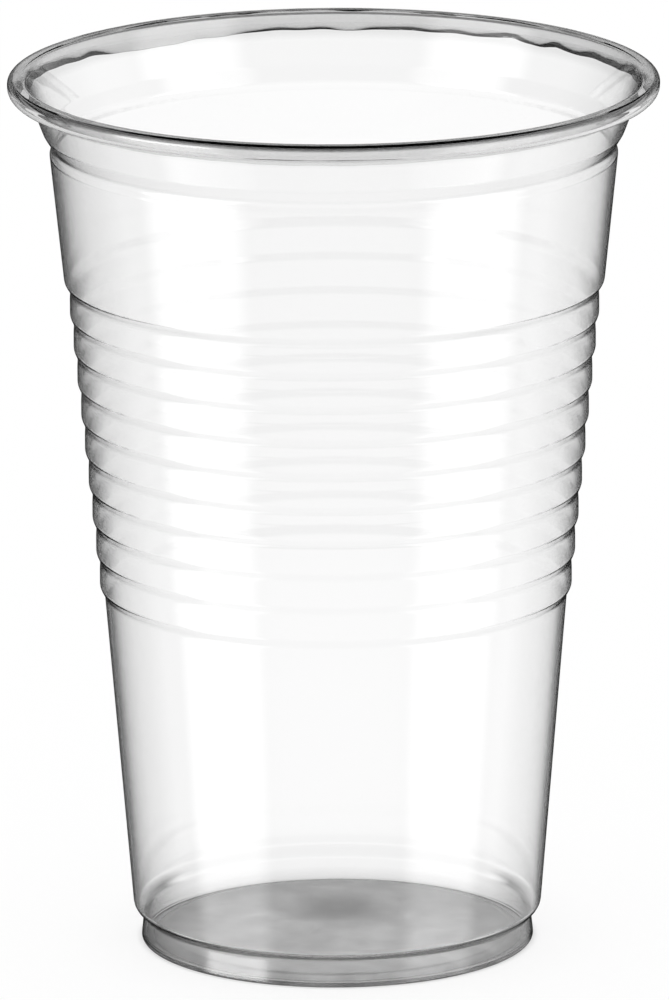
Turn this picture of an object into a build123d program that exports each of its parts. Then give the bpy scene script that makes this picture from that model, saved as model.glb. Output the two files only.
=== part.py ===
"""Clear disposable drinking cup: one thin formed sheet with a ribbed belt and a curled rim."""
import os
from math import radians, tan

from build123d import *

# Whole cup, millimetres and degrees
height = 96.0
rim_diameter = 70.3
foot_diameter = 42.7
wall = 0.4

# Curled rim: the sheet flares out, runs flat over the lip, turns down at the crest and tucks in
lip_width = 1.75
crest_flat = 0.3
skirt_drop = 1.25
tuck_width = 0.8
tuck_height = 0.75

# Collar, the lower edge of the flare, and the groove below it, which keep stacked cups from jamming
rim_overhang = 3.8
collar_drop = 5.8
groove_height = 2.5
groove_rise = 0.9
groove_depth = 0.4

# Smooth band above the ribs
band_overhang = 0.8
band_length = 14.0
band_draft = 6.1

# Belt of grip ribs, stepped rings with sharp lower edges
rib_count = 9
rib_pitch = 3.775
rib_underside = 0.3
rib_taper = 0.3725
belt_step = 0.55

# Foot, and the shoulder where the body widens above it
foot_height = 3.3
shoulder_overhang = 1.1
shoulder_height = 1.2

# Base panel, raised clear of the table inside the flat ring that the cup stands on
contact_width = 1.4
panel_rise = 0.5

# Rim: the inside of the curl
rim_x = rim_diameter / 2
crest_x = rim_x - wall
lip_z = height - wall
skirt_z = height - skirt_drop

# Collar and stacking groove
collar_x = rim_x - rim_overhang
collar_z = height - collar_drop
band_top_x = collar_x - band_overhang
band_top_z = collar_z - groove_height

# Band
band_low_x = band_top_x - band_length * tan(radians(band_draft))
band_low_z = band_top_z - band_length

# Foot and base
foot_x = foot_diameter / 2
contact_x = foot_x - contact_width


def ring_x(rib):
    """Radius of a rib's upright face, counted from the top."""
    return band_low_x - belt_step - rib * rib_taper


def edge_z(rib):
    """Height of a rib's lower edge, counted from the top."""
    return band_low_z - (rib + 1) * rib_pitch


def belt():
    """Corners of the belt, from the top of the body up to the top of the highest rib."""
    last = rib_count - 1
    corners = [(ring_x(last) - belt_step, edge_z(last) - rib_underside)]
    for rib in reversed(range(rib_count)):
        top_z = edge_z(rib - 1) - rib_underside
        corners += [(ring_x(rib), edge_z(rib)), (ring_x(rib), top_z)]
    return corners


with BuildPart() as cup:
    with BuildSketch(Plane.XZ):
        with BuildLine():
            # Outer face of the sheet, from the middle of the base up to the trimmed edge of the curl
            Polyline(
                (0, panel_rise),
                (contact_x - panel_rise, panel_rise),
                (contact_x, 0),
                (foot_x, 0),
                (foot_x, foot_height),
                (foot_x + shoulder_overhang, foot_height + shoulder_height),
                *belt(),
                (band_low_x, band_low_z),
                (band_top_x, band_top_z),
                (band_top_x - groove_depth, band_top_z + groove_rise),
                (collar_x, collar_z),
                (rim_x - lip_width, lip_z),
                (crest_x - crest_flat, lip_z),
                (crest_x, lip_z - crest_flat),
                (crest_x, skirt_z),
                (crest_x - tuck_width, skirt_z - tuck_height),
            )
            offset(amount=wall, side=Side.LEFT, kind=Kind.INTERSECTION)
        make_face()
    revolve(axis=Axis.Z)

cup.part.label = "cup"
os.makedirs("parts", exist_ok=True)
export_step(cup.part, "parts/cup.step")
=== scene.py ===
"""Dresses the disposable cup: the round form of its thin sheet, clear plastic and a bright studio."""
import logging
import math
from dataclasses import dataclass, field
from enum import Enum

import bpy
from mathutils import Matrix, Vector


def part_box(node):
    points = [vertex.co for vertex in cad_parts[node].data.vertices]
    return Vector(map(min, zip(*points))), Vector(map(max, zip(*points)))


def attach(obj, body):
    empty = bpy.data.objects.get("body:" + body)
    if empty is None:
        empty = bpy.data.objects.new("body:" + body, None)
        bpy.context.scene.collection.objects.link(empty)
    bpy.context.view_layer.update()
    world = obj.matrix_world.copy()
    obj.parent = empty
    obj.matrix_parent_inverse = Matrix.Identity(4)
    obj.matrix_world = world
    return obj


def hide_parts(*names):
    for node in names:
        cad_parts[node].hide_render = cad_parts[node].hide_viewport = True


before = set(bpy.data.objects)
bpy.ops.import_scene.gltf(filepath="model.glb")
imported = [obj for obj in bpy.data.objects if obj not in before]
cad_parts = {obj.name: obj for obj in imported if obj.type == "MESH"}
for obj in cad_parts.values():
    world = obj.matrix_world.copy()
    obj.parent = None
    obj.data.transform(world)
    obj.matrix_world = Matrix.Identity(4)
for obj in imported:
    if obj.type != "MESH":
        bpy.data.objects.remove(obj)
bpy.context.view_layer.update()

log = logging.getLogger("cup")

MILLIMETRE = 0.001
FULL_TURN = 360.0
AXIS_POINTS = 2
NODE = "cup"
BODY = "root"

# Share of light let through by plastic that holds none back, and the level of a plain white
CLEAR = 1.0
WHITE_LEVEL = 1.0
WHITE = (1.0, 1.0, 1.0, 1.0)

Point = tuple[float, float]
Stops = tuple[Point, ...]
Socket = bpy.types.NodeSocket
Value = Socket | float


@dataclass(frozen=True)
class Corner:
    """A corner of the sheet's outer face, seen in section, in millimetres.

    Attributes:
        radius: Distance from the cup's axis.
        height: Height above the table.
        bend: Radius of the bend on the outer face.
    """

    radius: float
    height: float
    bend: float = 0.0

    def step_to(self, other: "Corner") -> Vector:
        """Section vector from this corner to another one."""
        return Vector((other.radius - self.radius, other.height - self.height))


@dataclass
class Foot:
    """Raised base panel, standing ring and the shoulder above it, in millimetres."""

    panel_diameter: float = 37.5
    panel_rise: float = 0.5
    panel_bend: float = 1.0
    ring_diameter: float = 39.9
    diameter: float = 42.8
    edge_bend: float = 0.3
    waist_diameter: float = 42.2
    waist_height: float = 2.95
    waist_bend: float = 0.6
    shoulder_diameter: float = 44.4
    shoulder_height: float = 3.75
    shoulder_bend: float = 1.2

    def corners(self) -> list[Corner]:
        """Lists the outer face from the middle of the base to the shoulder.

        Returns:
            The corners in order.
        """
        return [
            Corner(0.0, self.panel_rise),
            Corner(self.panel_diameter / 2, self.panel_rise, self.panel_bend),
            Corner(self.ring_diameter / 2, 0.0, self.panel_bend),
            Corner(self.diameter / 2, 0.0, self.edge_bend),
            Corner(self.waist_diameter / 2, self.waist_height, self.waist_bend),
            Corner(self.shoulder_diameter / 2, self.shoulder_height, self.shoulder_bend),
        ]


@dataclass
class GripBelt:
    """Nine stepped grip ribs under the smooth band, in millimetres."""

    rib_count: int = 9
    rib_pitch: float = 3.775
    rib_taper: float = 0.3725
    top_rib_diameter: float = 57.2
    band_edge_height: float = 73.7
    land: float = 1.65
    underside: float = 0.95
    groove_depth: float = 0.05
    body_top_diameter: float = 50.2
    edge_bend: float = 0.8
    groove_bend: float = 1.1
    land_bend: float = 3.0

    def rib_radius(self, rib: int) -> float:
        """Radius of a rib's upright land, counted from the top."""
        return self.top_rib_diameter / 2 - rib * self.rib_taper

    def edge_height(self, rib: int) -> float:
        """Height of a rib's lower edge, counted from the top."""
        return self.band_edge_height - (rib + 1) * self.rib_pitch

    def corners(self) -> list[Corner]:
        """Lists the outer face from the top of the lower body to the groove under the band.

        Returns:
            The corners in order, from the lowest rib to the highest.
        """
        last_edge = self.edge_height(self.rib_count - 1)
        listed = [Corner(self.body_top_diameter / 2, last_edge - self.underside, self.groove_bend)]
        for rib in reversed(range(self.rib_count)):
            radius = self.rib_radius(rib)
            edge = self.edge_height(rib)
            groove = self.edge_height(rib - 1) - self.underside
            listed += [
                Corner(radius, edge, self.edge_bend),
                Corner(radius, edge + self.land, self.land_bend),
                Corner(radius - self.groove_depth, groove, self.groove_bend),
            ]
        return listed


@dataclass
class StackingCollar:
    """Smooth band, stacking groove and collar under the rim, in millimetres."""

    band_low_diameter: float = 58.4
    band_low_height: float = 73.7
    band_low_bend: float = 0.8
    band_top_diameter: float = 61.3
    band_top_height: float = 87.7
    band_top_bend: float = 0.7
    groove_diameter: float = 60.6
    groove_height: float = 88.5
    groove_bend: float = 1.2
    diameter: float = 62.7
    low_height: float = 90.2
    low_bend: float = 2.0

    def corners(self) -> list[Corner]:
        """Lists the outer face from the band's lower edge to the collar's lower edge.

        Returns:
            The corners in order.
        """
        return [
            Corner(self.band_low_diameter / 2, self.band_low_height, self.band_low_bend),
            Corner(self.band_top_diameter / 2, self.band_top_height, self.band_top_bend),
            Corner(self.groove_diameter / 2, self.groove_height, self.groove_bend),
            Corner(self.diameter / 2, self.low_height, self.low_bend),
        ]


@dataclass
class RolledRim:
    """The flare above the collar and the curled lip that it ends in, in millimetres and degrees.

    Attributes:
        rim_radius: Outer radius of the curl.
        top: Height of the lip.
        wall: Thickness of the sheet.
        lip_width: Width of the flat lip, with the crest.
        lip_bend: Radius of the bend from the flare to the lip.
        crest_bend: Radius of the bend from the lip to the skirt.
        skirt_drop: Height of the skirt, from the top down.
        skirt_bend: Radius of the bend from the skirt to the tucked edge.
        tuck: How far the tucked edge runs inwards and downwards.
        edge_waves: Waves along the trimmed edge: their count, size and phase.
        edge_share: Thickness left at the trimmed edge, as a share of the wall.
        strays: Nicks and droops of the edge: where each is, its width and how far the edge drops.
    """

    rim_radius: float
    top: float
    wall: float = 0.4
    lip_width: float = 1.75
    lip_bend: float = 0.5
    crest_bend: float = 0.25
    skirt_drop: float = 1.25
    skirt_bend: float = 0.7
    tuck: Point = (1.2, 0.85)
    edge_waves: tuple[tuple[int, float, float], ...] = (
        (3, 0.08, 0.4),
        (8, 0.08, 1.9),
        (17, 0.07, 0.7),
        (29, 0.05, 2.2),
        (43, 0.05, 5.1),
    )
    edge_share: float = 0.15
    strays: tuple[tuple[float, float, float], ...] = (
        (54.5, 2.0, -0.35),
        (44.0, 2.0, -0.35),
        (124.0, 14.0, 0.6),
    )

    def corners(self) -> list[Corner]:
        """Lists the sheet's outer face, which is the inside of the curl, up to the trimmed edge.

        Returns:
            The corners in order.
        """
        crest = self.rim_radius - self.wall
        under_lip = self.top - self.wall
        skirt = self.top - self.skirt_drop
        return [
            Corner(self.rim_radius - self.lip_width, under_lip, self.lip_bend),
            Corner(crest, under_lip, self.crest_bend),
            Corner(crest, skirt, self.skirt_bend),
            Corner(crest - self.tuck[0], skirt - self.tuck[1]),
        ]

    def trimmed_edge(self, azimuth: float, outer: Point, inner: Point) -> list[Point]:
        """Places the trimmed edge, where the sheet is drawn thin and strays.

        Args:
            azimuth: Place along the rim, in degrees.
            outer: End of the outer face.
            inner: End of the drink side.

        Returns:
            The edge's two corners.
        """
        middle = (Vector(outer) + Vector(inner)) / 2 + self.waver(azimuth)
        half = (Vector(outer) - Vector(inner)) / 2 * self.edge_share
        return [tuple(middle + half), tuple(middle - half)]

    def waver(self, azimuth: float) -> Vector:
        """Finds how far the trimmed edge strays, which it does all along the rim.

        Args:
            azimuth: Place along the rim, in degrees.

        Returns:
            Section vector to add to the edge.
        """
        turn = math.radians(azimuth)
        stray = sum(size * math.sin(count * turn + phase) for count, size, phase in self.edge_waves)
        for middle, width, size in self.strays:
            stray += size * math.exp(-(((azimuth - middle) / width) ** 2))
        return Vector((-self.tuck[0], -self.tuck[1])).normalized() * stray


def left_of(step: Vector) -> Vector:
    """Unit vector square to a step, on its left, which is the side of the plastic."""
    return Vector((-step.y, step.x)).normalized()


def drink_side(corners: list[Corner], wall: float, least_bend: float = 0.3) -> list[Corner]:
    """Moves the outer face inwards by the wall, which gives the drink side.

    Args:
        corners: Corners of the outer face, in order.
        wall: Thickness of the sheet.
        least_bend: Radius of the tightest bend.

    Returns:
        Corners of the drink side, in the same order.
    """
    first_out = left_of(corners[0].step_to(corners[1])) * wall
    moved = [Corner(corners[0].radius, corners[0].height + first_out.y)]
    for before, here, after in zip(corners, corners[1:], corners[2:]):
        arriving = before.step_to(here).normalized()
        leaving = here.step_to(after).normalized()
        turn = arriving.x * leaving.y - arriving.y * leaving.x
        mitre = left_of(arriving) + left_of(leaving)
        shift = mitre * (2 * wall / mitre.length_squared)
        bend = here.bend - math.copysign(wall, turn)
        moved.append(Corner(here.radius + shift.x, here.height + shift.y, max(bend, least_bend)))
    last_out = left_of(corners[-2].step_to(corners[-1])) * wall
    moved.append(Corner(corners[-1].radius + last_out.x, corners[-1].height + last_out.y))
    return moved


def bent(
    corners: list[Corner], arc_step: float = 18.0, share: float = 0.46, least_steps: int = 2
) -> list[Point]:
    """Rounds every corner of a section line.

    Args:
        corners: Corners in order; the two ends stay as they are.
        arc_step: Largest turn between two points of a bend, in degrees.
        share: Largest share of a straight that one bend may take.
        least_steps: Fewest steps in a bend.

    Returns:
        Radius and height of each point.
    """
    points = [(corners[0].radius, corners[0].height)]
    for before, here, after in zip(corners, corners[1:], corners[2:]):
        come = before.step_to(here)
        go = here.step_to(after)
        turn = -come.angle_signed(go)
        reach = here.bend * math.tan(abs(turn) / 2)
        reach = min(reach, share * come.length, share * go.length)
        bend = reach / math.tan(abs(turn) / 2)
        start = Vector((here.radius, here.height)) - come.normalized() * reach
        arm = left_of(come) * math.copysign(bend, turn)
        centre = start + arm
        steps = max(least_steps, math.ceil(math.degrees(abs(turn)) / arc_step))
        for step in range(steps + 1):
            spoke = -arm
            spoke.rotate(Matrix.Rotation(turn * step / steps, 2))
            points.append(tuple(centre + spoke))
    points.append((corners[-1].radius, corners[-1].height))
    return points


class Operation(Enum):
    """What a node works out of one or two numbers."""

    PRODUCT = "MULTIPLY"
    SHARE = "DIVIDE"
    LARGER = "MAXIMUM"
    BELOW = "LESS_THAN"
    ABOVE = "GREATER_THAN"
    SIZE = "ABSOLUTE"


class Measure(Enum):
    """What a node measures on one or two vectors."""

    LENGTH = "LENGTH"
    DISTANCE = "DISTANCE"
    NEARNESS = "DOT_PRODUCT"


class NodeBench:
    """Adds shader nodes to a tree and links them."""

    def __init__(self, tree: bpy.types.NodeTree) -> None:
        """Takes a tree and clears it."""
        self.tree = tree
        tree.nodes.clear()

    def add(self, kind: str, inputs: dict | None = None, **settings: object) -> bpy.types.Node:
        """Adds one node.

        Args:
            kind: Blender's name of the node type.
            inputs: Values or sockets for the node's inputs, by name or number.
            settings: Properties of the node.

        Returns:
            The new node.
        """
        node = self.tree.nodes.new(kind)
        for name, value in settings.items():
            setattr(node, name, value)
        for key, value in (inputs or {}).items():
            if isinstance(value, Socket):
                self.tree.links.new(value, node.inputs[key])
            else:
                node.inputs[key].default_value = value
        return node

    def figure(self, operation: Operation, *values: Value) -> Socket:
        """Works a number out of one or two others.

        Args:
            operation: What to work out.
            values: The numbers.

        Returns:
            Socket of the result.
        """
        inputs = dict(enumerate(values))
        return self.add("ShaderNodeMath", inputs, operation=operation.value).outputs[0]

    def measure(self, quantity: Measure, *vectors: Socket | tuple[float, float, float]) -> Socket:
        """Measures one or two vectors.

        Args:
            quantity: What to measure.
            vectors: The vectors.

        Returns:
            Socket of the result.
        """
        inputs = dict(enumerate(vectors))
        return self.add("ShaderNodeVectorMath", inputs, operation=quantity.value).outputs["Value"]

    def laid_level(self, vector: Socket) -> Socket:
        """Socket of a vector without its height."""
        inputs = {0: vector, 1: (1.0, 1.0, 0.0)}
        return self.add("ShaderNodeVectorMath", inputs, operation="MULTIPLY").outputs[0]

    def height(self, vector: Socket) -> Socket:
        """Socket of a vector's height."""
        return self.add("ShaderNodeSeparateXYZ", {0: vector}).outputs["Z"]

    def blend(self, factor: Socket, low: Value, high: Value) -> Socket:
        """Blends two numbers.

        Args:
            factor: Socket that is 0 for the first number and 1 for the second.
            low: First number.
            high: Second number.

        Returns:
            Socket of the result.
        """
        return self.add("ShaderNodeMix", {0: factor, 2: low, 3: high}).outputs[0]

    def product(self, first: Socket, *others: Socket) -> Socket:
        """Multiplies any count of numbers.

        Args:
            first: Socket of the first number.
            others: Sockets of the others.

        Returns:
            Socket of the result.
        """
        result = first
        for other in others:
            result = self.figure(Operation.PRODUCT, result, other)
        return result

    def spread(self, value: Socket, ends: Point, levels: Point) -> Socket:
        """Adds a soft step between two levels.

        Args:
            value: Socket of the value to look at.
            ends: Values at which the step starts and ends.
            levels: Levels at its start and its end.

        Returns:
            Socket of the level.
        """
        inputs = {0: value, 1: ends[0], 2: ends[1], 3: levels[0], 4: levels[1]}
        return self.add("ShaderNodeMapRange", inputs, interpolation_type="SMOOTHSTEP").outputs[0]

    def step(self, value: Socket, start: float, end: float) -> Socket:
        """Adds a soft step.

        Args:
            value: Socket of the value to look at.
            start: Value up to which the result is 0.
            end: Value from which it is 1; a value below the start turns the step round.

        Returns:
            Socket that goes from 0 to 1 over the step.
        """
        return self.spread(value, (start, end), (0.0, 1.0))

    def ramp(self, place: Socket, stops: Stops) -> Socket:
        """Looks a tone up along a ramp.

        Args:
            place: Socket of the place along the ramp, from 0 to 1.
            stops: Place and tone of each stop, in order.

        Returns:
            Socket of the tone.
        """
        node = self.add("ShaderNodeValToRGB", {"Fac": place})
        while len(node.color_ramp.elements) < len(stops):
            node.color_ramp.elements.new(1.0)
        for element, (at, tone) in zip(node.color_ramp.elements, stops):
            element.position = at
            element.color = (tone, tone, tone, 1.0)
        return node.outputs["Color"]


@dataclass(frozen=True)
class PaintedShadeBand:
    """A band round the cup with painted shade where the ray runs along the sheet.

    Attributes:
        share: Share of the band, by the share of the cup's height.
        turn: How far the sheet is turned from the ray where it starts to darken, and where it is dark.
        tone: Painted shade: share of light let through in the band.
        start: Radii between which the band starts, in metres.
    """

    share: Stops
    turn: Point
    tone: float
    start: Point = (0.0, 0.001)

    def tones(self, bench: NodeBench, out: Socket, rise: Socket, facing: Socket) -> Socket:
        """Adds the nodes of the band.

        Args:
            bench: Bench of the material's nodes.
            out: Socket of the distance from the axis.
            rise: Socket of the share of the cup's height.
            facing: Socket of how far the sheet is turned from the ray.

        Returns:
            Socket of the share of light let through, 1 away from the band.
        """
        # Painted shade: where the band lies and the sheet is seen along it.
        painted_shade_mask = bench.product(
            bench.ramp(rise, self.share),
            bench.step(facing, *self.turn),
            bench.step(out, *self.start),
        )
        return bench.blend(painted_shade_mask, CLEAR, self.tone)


# Painted shade: the dark lines of the shoulder and the dark ends of the foot.
SHOULDER_FOLD_SHADE = PaintedShadeBand(
    share=((0.0, 0.0), (0.027, 0.0), (0.030, 1.0), (0.037, 1.0), (0.041, 0.0)),
    turn=(0.38, 0.52),
    tone=0.08,
)
SHOULDER_EDGE_SHADE = PaintedShadeBand(
    share=((0.0, 0.0), (0.037, 0.0), (0.0385, 1.0), (0.0445, 1.0), (0.047, 0.0)),
    turn=(0.45, 0.6),
    tone=0.08,
    start=(0.0219, 0.0220),
)
FOOT_WALL_SHADE = PaintedShadeBand(
    share=((0.0, 1.0), (0.026, 1.0), (0.030, 0.0)),
    turn=(0.26, 0.8),
    tone=0.3,
)


@dataclass(frozen=True)
class ClearPlastic:
    """Clear formed plastic with painted shade where it is seen along the sheet, at the foot, the shoulder,
    the crest and the lip, and a frosted base panel.

    Attributes:
        ior: Index of refraction.
        edge_on_painted_shade: Painted shade: share of light let through, by how far a face is turned from
            the ray, darker where the sheet is seen edge-on.
        height: Height of the cup, in metres.
        height_painted_shade: Painted shade: share of that again, by the share of the height: less at the
            foot and the lip.
        cloud_scale: Patches of haze or frost in a metre.
        cloud_detail: How many times finer patches are added to them.
        cloud_ends: Depths of the clouds between which a patch goes from its least to its greatest.
        haze: Least and greatest roughness of the clear sheet.
        frost: Least and greatest roughness of the frosted base panel.
        frost_edge: Radius of the frosted panel, in metres.
        frost_top: Height of the frosted panel, in metres.
        frost_tones: Least and greatest share of light that the frosted panel lets through.
        shade_spot: Middle of a dark patch of painted shade on the panel, in metres.
        shade_spot_reach: Distances between which the painted shade fades, in metres.
        shade_spot_tone: Painted shade: share of that again that the panel lets through there.
        curl: Radii between which the flare turns into the curl, in metres.
        curl_tone: Share of light that the curl lets through.
        crest: Radii between which the lip turns into the crest of the curl, in metres.
        crest_foot: Heights between which the skirt turns into the crest, in metres.
        crest_painted_shade: Painted shade: share of that again let through at the crest, which draws a dark
            line along it.
        painted_shade_bands: Bands of painted shade, darker where the sheet is seen along it: the shoulder's
            lines and the foot's dark ends.
    """

    ior: float = 1.49
    # Painted shade: the sheet lets less light through where it is seen edge-on, which darkens the cup's
    # sides.
    edge_on_painted_shade: Stops = (
        (0.0, 1.0),
        (0.38, 0.98),
        (0.47, 0.91),
        (0.57, 0.85),
        (0.66, 0.73),
        (0.74, 0.54),
        (0.80, 0.28),
        (0.86, 0.08),
        (1.0, 0.02),
    )
    height: float = 0.096
    # Painted shade: darker at the foot and at the lip.
    height_painted_shade: Stops = (
        (0.0, 0.8),
        (0.012, 0.9),
        (0.02, 1.0),
        (0.36, 1.0),
        (0.6, 0.98),
        (0.970, 0.98),
        (0.976, 0.86),
        (1.0, 0.86),
    )
    cloud_scale: float = 300.0
    cloud_detail: float = 2.0
    cloud_ends: Point = (0.25, 0.75)
    haze: Point = (0.0, 0.03)
    frost: Point = (0.32, 0.5)
    frost_edge: float = 0.0200
    frost_top: float = 0.0011
    frost_tones: Point = (0.6, 1.0)
    # Painted shade: a dark patch on the base panel.
    shade_spot: tuple[float, float, float] = (0.0, 0.0075, 0.0)
    shade_spot_reach: Point = (0.001, 0.0085)
    shade_spot_tone: float = 0.5
    curl: Point = (0.0331, 0.0334)
    curl_tone: float = 0.95
    crest: Point = (0.0344, 0.0347)
    crest_foot: Point = (0.0953, 0.0956)
    # Painted shade: a dark line along the crest of the curl.
    crest_painted_shade: float = 0.25
    painted_shade_bands: tuple[PaintedShadeBand, ...] = (SHOULDER_FOLD_SHADE, SHOULDER_EDGE_SHADE, FOOT_WALL_SHADE)

    def material(self) -> bpy.types.Material:
        """Makes the material.

        Returns:
            The material, ready to give to a mesh.
        """
        made = bpy.data.materials.new("clear_plastic")
        made.use_nodes = True
        bench = NodeBench(made.node_tree)
        coords = bench.add("ShaderNodeTexCoord").outputs["Object"]
        out = bench.measure(Measure.LENGTH, bench.laid_level(coords))
        up = bench.height(coords)
        clouds = self.clouds(bench, coords)
        frosted = self.frosted(bench, out, up)
        clear_painted_shade = self.clear_painted_shade(bench, out, up)
        panel_patches_and_shade = self.panel_patches_and_shade(bench, coords, clouds)
        haze = bench.spread(clouds, self.cloud_ends, self.haze)
        frost = bench.spread(clouds, self.cloud_ends, self.frost)
        shader = bench.add(
            "ShaderNodeBsdfPrincipled",
            {
                "Base Color": bench.blend(frosted, clear_painted_shade, panel_patches_and_shade),
                "Roughness": bench.blend(frosted, haze, frost),
                "IOR": self.ior,
                "Transmission Weight": CLEAR,
            },
        )
        bench.add("ShaderNodeOutputMaterial", {"Surface": shader.outputs["BSDF"]})
        return made

    def clouds(self, bench: NodeBench, coords: Socket) -> Socket:
        """Socket of the soft clouds that the haze and the frost lie in."""
        inputs = {"Vector": coords, "Scale": self.cloud_scale, "Detail": self.cloud_detail}
        return bench.add("ShaderNodeTexNoise", inputs).outputs["Fac"]

    def panel_patches_and_shade(self, bench: NodeBench, coords: Socket, clouds: Socket) -> Socket:
        """Adds the nodes of the frosted panel's tone, which is patchy and has a dark patch of painted shade.

        Args:
            bench: Bench of the material's nodes.
            coords: Socket of the place on the cup.
            clouds: Socket of the clouds.

        Returns:
            Socket of the share of light let through.
        """
        away = bench.measure(Measure.DISTANCE, coords, self.shade_spot)
        # Painted shade: the panel is darker near this place.
        shade_spot = bench.blend(bench.step(away, *self.shade_spot_reach), self.shade_spot_tone, CLEAR)
        return bench.product(bench.spread(clouds, self.cloud_ends, self.frost_tones), shade_spot)

    def frosted(self, bench: NodeBench, out: Socket, up: Socket) -> Socket:
        """Adds the nodes that pick out the base panel.

        Args:
            bench: Bench of the material's nodes.
            out: Socket of the distance from the axis.
            up: Socket of the height.

        Returns:
            Socket that is 1 on the base panel and 0 elsewhere.
        """
        inside = bench.figure(Operation.BELOW, out, self.frost_edge)
        low = bench.figure(Operation.BELOW, up, self.frost_top)
        return bench.product(inside, low)

    def clear_painted_shade(self, bench: NodeBench, out: Socket, up: Socket) -> Socket:
        """Adds the nodes of the clear sheet's painted shade.

        Args:
            bench: Bench of the material's nodes.
            out: Socket of the distance from the axis.
            up: Socket of the height.

        Returns:
            Socket of the share of light let through.
        """
        facing = bench.add("ShaderNodeLayerWeight").outputs["Facing"]
        rise = bench.figure(Operation.SHARE, up, self.height)
        curl = bench.step(out, *self.curl)
        crest = bench.product(bench.step(out, *self.crest), bench.step(up, *self.crest_foot))
        # Painted shade: darker edge-on, at the foot and the lip by height, at the crest and in the shoulder
        # and foot bands.
        return bench.product(
            bench.blend(curl, bench.ramp(facing, self.edge_on_painted_shade), self.curl_tone),
            bench.ramp(rise, self.height_painted_shade),
            bench.blend(crest, CLEAR, self.crest_painted_shade),
            *(band.tones(bench, out, rise, facing) for band in self.painted_shade_bands),
        )


@dataclass(frozen=True)
class WhiteTable:
    """Matt white table, a little uneven in tone, whose painted glow lightens shadows, less of it round the
    foot so that a contact shadow shows there.

    Attributes:
        tones: Darkest and lightest tone.
        scale: Patches of tone in a metre.
        painted_glow: Share of painted white glow, which lightens the cup's real shadow, in what the camera
            and the plastic show of it, by the distance
        from the cup's axis as a share of the reach: least where the foot stands on the table, so the shadow
        shows darkest there.
        reach: Distance over which the glow changes, in metres.
    """

    tones: Point = (0.965, 0.975)
    scale: float = 6.0
    painted_glow: Stops = (
        (0.0, 0.9),
        (0.2, 0.88),
        (0.34, 0.75),
        (0.40, 0.45),
        (0.422, 0.25),
        (0.44, 0.84),
        (0.6, 0.91),
        (1.0, 0.95),
    )
    reach: float = 0.05

    def material(self) -> bpy.types.Material:
        """Makes the material.

        Returns:
            The material, ready to give to a mesh.
        """
        made = bpy.data.materials.new("white_table")
        made.use_nodes = True
        bench = NodeBench(made.node_tree)
        coords = bench.add("ShaderNodeTexCoord").outputs["Object"]
        clouds = bench.add("ShaderNodeTexNoise", {"Vector": coords, "Scale": self.scale}).outputs["Fac"]
        levels = {0: clouds, 3: self.tones[0], 4: self.tones[1]}
        tone = bench.add("ShaderNodeMapRange", levels).outputs[0]
        matt = bench.add("ShaderNodeBsdfDiffuse", {"Color": tone}).outputs[0]
        white = bench.add("ShaderNodeEmission").outputs[0]
        path = bench.add("ShaderNodeLightPath").outputs
        seen = bench.figure(Operation.LARGER, path["Is Camera Ray"], path["Is Transmission Ray"])
        out = bench.measure(Measure.LENGTH, coords)
        away = bench.figure(Operation.SHARE, out, self.reach)
        # Painted light: a white glow for the camera and the plastic that lightens the cup's real shadow,
        # less of it round the foot.
        share = bench.blend(seen, 0.0, bench.ramp(away, self.painted_glow))
        shader = bench.add("ShaderNodeMixShader", {0: share, 1: matt, 2: white})
        bench.add("ShaderNodeOutputMaterial", {"Surface": shader.outputs[0]})
        return made


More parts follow.
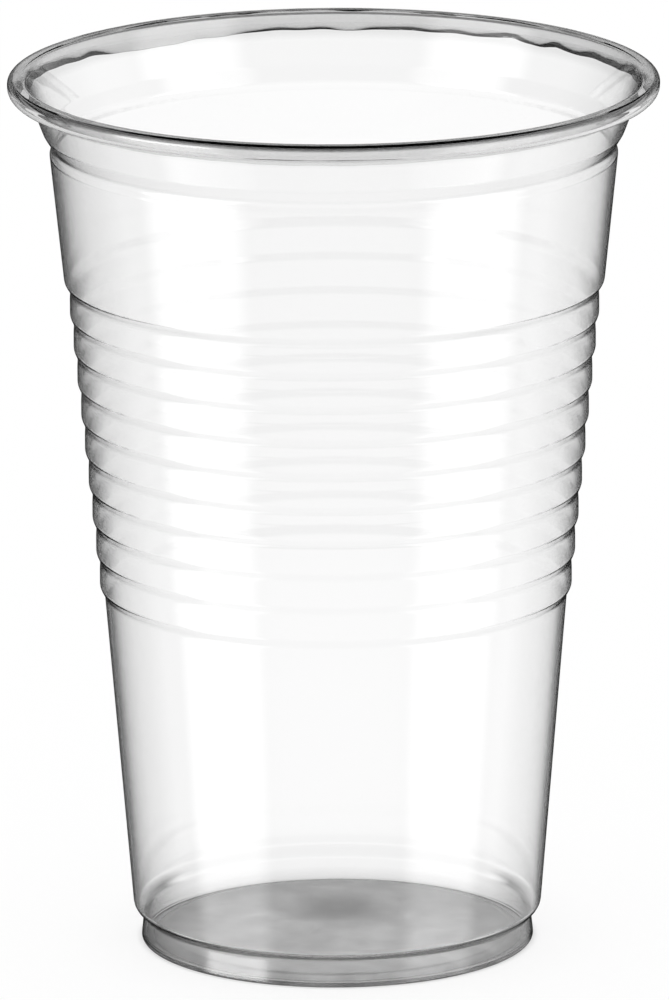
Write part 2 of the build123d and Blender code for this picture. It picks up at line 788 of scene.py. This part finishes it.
@dataclass
class Cup:
    """The whole cup as one formed sheet.

    Attributes:
        rim: Flare and curled lip.
        foot: Base panel, standing ring and shoulder.
        belt: Grip ribs.
        collar: Smooth band, stacking groove and collar.
        finish: The plastic.
        sides: Sections round the cup.
    """

    rim: RolledRim
    foot: Foot = field(default_factory=Foot)
    belt: GripBelt = field(default_factory=GripBelt)
    collar: StackingCollar = field(default_factory=StackingCollar)
    finish: ClearPlastic = field(default_factory=ClearPlastic)
    sides: int = 288

    def section(self) -> tuple[list[Point], list[Point]]:
        """Draws the two faces of the sheet.

        Returns:
            Points of the outer face going up, and points of the drink side going down, in millimetres.
        """
        corners = self.foot.corners() + self.belt.corners() + self.collar.corners() + self.rim.corners()
        outer = bent(corners)
        inner = bent(drink_side(corners, self.rim.wall))
        return outer, inner[::-1]

    def build(self) -> bpy.types.Object:
        """Turns the section about the axis into the cup's mesh.

        Returns:
            The new object, in the frame's metres.
        """
        outer, inner = self.section()
        points = [(0.0, 0.0, outer[0][1]), (0.0, 0.0, inner[-1][1])]
        for side in range(self.sides):
            azimuth = FULL_TURN * side / self.sides
            turn = math.radians(azimuth)
            edge = self.rim.trimmed_edge(azimuth, outer[-1], inner[0])
            ring = outer[1:-1] + edge + inner[1:-1]
            points += [(r * math.cos(turn), r * math.sin(turn), z) for r, z in ring]
        faces = self.faces(rows=len(ring))
        mesh = bpy.data.meshes.new("cup_sheet")
        mesh.from_pydata([tuple(Vector(point) * MILLIMETRE) for point in points], [], faces)
        mesh.shade_smooth()
        cup = bpy.data.objects.new("cup_sheet", mesh)
        bpy.context.scene.collection.objects.link(cup)
        normals = cup.modifiers.new("even_shading", "WEIGHTED_NORMAL")
        normals.mode = "FACE_AREA"
        normals.keep_sharp = False
        return cup

    def faces(self, rows: int) -> list[tuple[int, ...]]:
        """Lists the faces between neighbouring sections.

        Args:
            rows: Points in a section, without the two on the axis.

        Returns:
            Point numbers of each face; points 0 and 1 are the two on the axis.
        """
        listed = []
        for side in range(self.sides):
            here = AXIS_POINTS + side * rows
            there = AXIS_POINTS + (side + 1) % self.sides * rows
            listed.append((0, there, here))
            listed += [(here + row, there + row, there + row + 1, here + row + 1) for row in range(rows - 1)]
            listed.append((1, here + rows - 1, there + rows - 1))
        return listed

    def dress(self, cup: bpy.types.Object) -> None:
        """Gives the cup its finish and its place in the frame.

        Args:
            cup: The object made by build.
        """
        cup.data.materials.append(self.finish.material())
        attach(cup, BODY)
        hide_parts(NODE)


@dataclass(frozen=True)
class Softbox:
    """An upright strip of light that shows in reflections.

    Attributes:
        azimuth: Where it stands, from straight in front, in degrees, positive to the right.
        half_width: Half its width, in degrees.
        fade: Width of its soft edge, in degrees.
        level: Its brightness.
        reach: Angles above and below the horizon between which it fades, in degrees.
    """

    azimuth: float
    half_width: float = 13.0
    fade: float = 14.0
    level: float = 3.0
    reach: Point = (38.0, 60.0)

    def mask(self, bench: NodeBench, level_direction: Socket, steep: Socket) -> Socket:
        """Adds the nodes that draw the strip.

        Args:
            bench: Bench of the world's nodes.
            level_direction: Socket of the direction looked in, laid level.
            steep: Socket of the sine of the angle to the horizon.

        Returns:
            Socket that is 1 in the strip and 0 away from it.
        """
        turn = math.radians(self.azimuth)
        towards = (math.sin(turn), -math.cos(turn), 0.0)
        nearness = bench.measure(Measure.NEARNESS, level_direction, towards)
        outer = math.cos(math.radians(self.half_width + self.fade))
        inner = math.cos(math.radians(self.half_width))
        low, high = (math.sin(math.radians(angle)) for angle in self.reach)
        return bench.product(bench.step(nearness, outer, inner), bench.step(steep, high, low))


FRONT_FILL = Softbox(azimuth=0.0, half_width=20.0, fade=30.0, level=0.28)
REAR_FILL = Softbox(azimuth=118.0, half_width=20.0, fade=22.0, level=0.8)
LEFT_STRIP = Softbox(azimuth=-62.0)
RIGHT_STRIP = Softbox(azimuth=62.0)
LOW_STRIP = Softbox(azimuth=-62.0, fade=10.0, level=9.0, reach=(6.0, 13.0))


@dataclass
class Studio:
    """White table, even sky light and softboxes.

    Attributes:
        table_size: Length of the table's sides, in metres.
        table_finish: The table's finish.
        softboxes: Strips of light in reflections; where two overlap, the later one shows.
        sky: Brightness of the light that falls on matt things.
        dark_room: Brightness of reflections between the softboxes.
        backdrop_top: Angles above the horizon between which the white backdrop ends, in degrees.
        ceiling: Brightness above the backdrop.
        scattered: Count of matt bounces above which a ray sees the even sky.
    """

    table_size: float = 12.0
    table_finish: WhiteTable = field(default_factory=WhiteTable)
    softboxes: tuple[Softbox, ...] = (FRONT_FILL, REAR_FILL, LEFT_STRIP, RIGHT_STRIP, LOW_STRIP)
    sky: float = 1.03
    dark_room: float = 0.03
    backdrop_top: Point = (8.0, 35.0)
    ceiling: float = 0.15
    scattered: float = 0.5

    def build_table(self) -> bpy.types.Object:
        """Makes the table top, which reflections don't show.

        Returns:
            The table's object.
        """
        half = self.table_size / 2
        corners = [(-half, -half, 0.0), (half, -half, 0.0), (half, half, 0.0), (-half, half, 0.0)]
        mesh = bpy.data.meshes.new("table_top")
        mesh.from_pydata(corners, [], [(0, 1, 2, 3)])
        mesh.materials.append(self.table_finish.material())
        table = bpy.data.objects.new("table_top", mesh)
        bpy.context.scene.collection.objects.link(table)
        table.visible_glossy = False
        return table

    def build_sky(self) -> None:
        """Makes the world: white behind the cup, a darker room with softboxes in its reflections."""
        world = bpy.data.worlds.new("studio")
        world.use_nodes = True
        bpy.context.scene.world = world
        bench = NodeBench(world.node_tree)
        direction = bench.add("ShaderNodeTexCoord").outputs["Generated"]
        path = bench.add("ShaderNodeLightPath").outputs
        level = bench.blend(path["Is Glossy Ray"], self.sky, self.reflections(bench, direction))
        level = bench.blend(path["Is Transmission Ray"], level, self.backdrop(bench, direction))
        scattered = bench.figure(Operation.ABOVE, path["Diffuse Depth"], self.scattered)
        level = bench.blend(scattered, level, self.sky)
        level = bench.blend(path["Is Camera Ray"], level, WHITE_LEVEL)
        light = bench.add("ShaderNodeBackground", {"Color": WHITE, "Strength": level})
        bench.add("ShaderNodeOutputWorld", {"Surface": light.outputs[0]})

    def reflections(self, bench: NodeBench, direction: Socket) -> Socket:
        """Adds the nodes of the room that the cup's gloss shows.

        Args:
            bench: Bench of the world's nodes.
            direction: Socket of the direction looked in.

        Returns:
            Socket of the brightness.
        """
        flat = {0: bench.laid_level(direction)}
        level_direction = bench.add("ShaderNodeVectorMath", flat, operation="NORMALIZE").outputs[0]
        steep = bench.figure(Operation.SIZE, bench.height(direction))
        level = self.dark_room
        for box in self.softboxes:
            level = bench.blend(box.mask(bench, level_direction, steep), level, box.level)
        return level

    def backdrop(self, bench: NodeBench, direction: Socket) -> Socket:
        """Adds the nodes of the white backdrop that is seen through the plastic, dark above.

        Args:
            bench: Bench of the world's nodes.
            direction: Socket of the direction looked in.

        Returns:
            Socket of the brightness.
        """
        low, high = (math.sin(math.radians(angle)) for angle in self.backdrop_top)
        return bench.spread(bench.height(direction), (low, high), (WHITE_LEVEL, self.ceiling))


@dataclass
class PhotoCamera:
    """A long lens at the photograph's viewing angle.

    Attributes:
        aside: Place to the right of the cup's axis, in metres.
        back: Distance in front of the cup's axis, in metres.
        height: Height above the table, in metres.
        pitch: How far it looks down, in degrees.
        roll: How far it is turned about its own line of sight, in degrees.
        lens: Focal length, in millimetres.
    """

    aside: float = -0.000108
    back: float = 1.453
    height: float = 0.416
    pitch: float = 14.18
    roll: float = -0.27
    lens: float = 497.5

    def build(self) -> bpy.types.Object:
        """Places the camera and makes it the scene's own.

        Returns:
            The camera's object.
        """
        data = bpy.data.cameras.new("photo_camera")
        data.lens = self.lens
        camera = bpy.data.objects.new("photo_camera", data)
        bpy.context.scene.collection.objects.link(camera)
        place = Matrix.Translation((self.aside, -self.back, self.height))
        tilt = Matrix.Rotation(math.radians(90.0 - self.pitch), 4, "X")
        camera.matrix_world = place @ tilt @ Matrix.Rotation(math.radians(self.roll), 4, "Z")
        bpy.context.scene.camera = camera
        return camera


def main() -> None:
    """Builds the cup, the studio and the camera."""
    logging.basicConfig(level=logging.INFO, format="%(name)s: %(message)s")
    low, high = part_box(NODE)
    rim = RolledRim(rim_radius=(high.x - low.x) / 2 / MILLIMETRE, top=high.z / MILLIMETRE)
    cup = Cup(rim)
    sheet = cup.build()
    cup.dress(sheet)
    log.info("%s: %d faces", sheet.name, len(sheet.data.polygons))
    studio = Studio()
    table = studio.build_table()
    studio.build_sky()
    log.info("%s and sky", table.name)
    camera = PhotoCamera().build()
    log.info("%s at %s", camera.name, tuple(camera.location))
    bpy.context.scene.view_settings.view_transform = "Standard"


if __name__ == "__main__":
    main()
